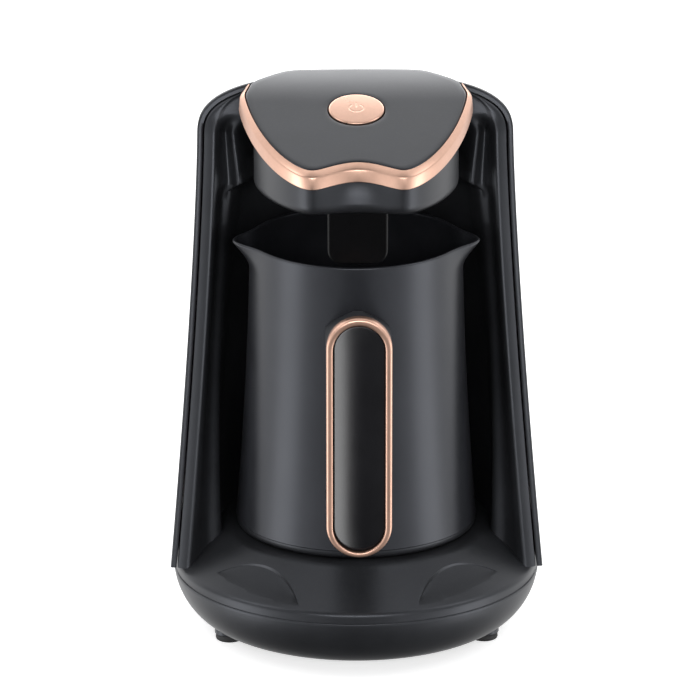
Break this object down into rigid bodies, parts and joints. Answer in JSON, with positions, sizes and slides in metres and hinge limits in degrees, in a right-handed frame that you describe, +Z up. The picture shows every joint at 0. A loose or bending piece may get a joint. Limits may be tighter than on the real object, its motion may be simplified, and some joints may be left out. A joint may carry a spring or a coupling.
{
  "type": "electric turkish coffee maker",
  "caption": "Countertop electric turkish coffee maker: round base, wrap-round housing, head with a lid-top button, and a slide-out heated pot with side spouts and a framed handle.",
  "frame": {"origin": "on the pot axis at the floor, which is the middle of the bounding box underside", "axes": "+Z up, -Y towards the front where the handle points, +X to the right as seen from the front"},
  "size_m": [0.1546, 0.176, 0.2321],
  "materials": {
    "satin_black": "moulded, fine satin",
    "lid_black": "moulded, fine satin",
    "pot_coat": "satin coat on steel",
    "rose_gold": "rose-gold plating, satin bright",
    "gloss_black": "polished",
    "black_rubber": "matt",
    "steel": "plain",
    "alloy": "plain",
    "contact_brass": "plain",
    "board_green": "lacquered board",
    "dark_window": "clear dark red",
    "tape_yellow": "winding tape",
    "relay_blue": "plain",
    "ceramic": "unglazed",
    "switch_red": "plain"
  },
  "bodies": {
    "base": {"base_bowl": "satin_black", "base_plate": "satin_black", "rubber_feet": "black_rubber", "base_screws": "steel", "base_cover": "satin_black", "front_housing": "satin_black", "rear_shell": "satin_black", "shell_screws": "steel", "cord_gland": "gloss_black", "head_shell": "satin_black", "head_floor": "satin_black", "trim_ring": "rose_gold", "top_plate": "lid_black", "lid_carrier": "satin_black", "sensor_tongue": "satin_black", "sensor_board": "board_green", "sensor_window": "dark_window", "socket_block": "gloss_black", "socket_contacts": "contact_brass", "power_board": "board_green", "power_transformer": "tape_yellow", "relay": "relay_blue", "fuse_clip": "steel", "control_board": "board_green", "buzzer": "gloss_black", "switch_body": "gloss_black"},
    "pot": {"pot_vessel": "pot_coat", "heater_plate": "alloy", "heating_element": "steel", "pot_thermostat": "ceramic", "pot_base_cap": "gloss_black", "pot_screws": "steel", "pot_plug": "gloss_black", "plug_pins": "contact_brass", "handle_body": "satin_black", "handle_studs": "steel", "handle_screws": "steel", "handle_frame": "rose_gold", "handle_inlay": "gloss_black"},
    "button": {"button_cap": "rose_gold"},
    "plunger": {"switch_plunger": "switch_red"}
  },
  "joints": [
    {"name": "pot_slide", "type": "slide", "parent": "base", "child": "pot", "axis": [0, -1, 0], "range_m": [0, 0.145]},
    {"name": "button_press", "type": "slide", "parent": "base", "child": "button", "axis": [0, 0.2672, -0.9636], "range_m": [0, 0.0016], "stiffness_N_per_m": 600, "springref_m": -0.0008},
    {"name": "plunger_press", "type": "slide", "parent": "base", "child": "plunger", "axis": [0, 0.2672, -0.9636], "range_m": [0, 0.0016]}
  ],
  "couplings": [
    {"joint": "plunger_press", "follows": "button_press", "ratio": 1}
  ]
}
